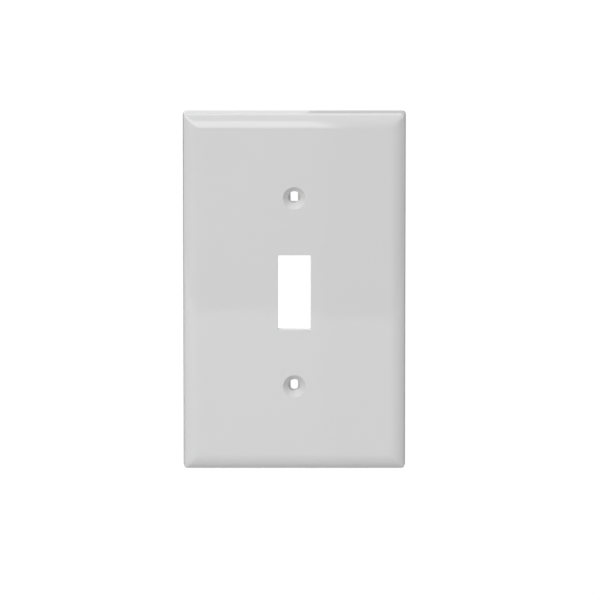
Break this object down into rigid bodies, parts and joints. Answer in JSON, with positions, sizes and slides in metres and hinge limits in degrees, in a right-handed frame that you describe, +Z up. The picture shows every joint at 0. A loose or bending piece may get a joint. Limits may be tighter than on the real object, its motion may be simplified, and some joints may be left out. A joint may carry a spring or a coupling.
{
  "type": "toggle switch wall plate",
  "caption": "White one-gang wall plate cover with an arced bevel, an upright toggle opening and countersunk screw holes with slotted retainers.",
  "frame": {"origin": "centre of the plate on the wall plane, midway between the two screw holes", "axes": "+Z up along the plate's long side, +Y into the wall, +X to the right seen from the front; the visible face looks along -Y"},
  "size_m": [0.0698, 0.0056, 0.1142],
  "materials": {
    "white_plastic": "glossy moulded white plastic, very lightly textured",
    "milky_nylon": "satin natural nylon, slightly milky"
  },
  "bodies": {
    "root": {"face_plate": "white_plastic", "upper_screw_retainer": "milky_nylon", "lower_screw_retainer": "milky_nylon"}
  },
  "joints": []
}
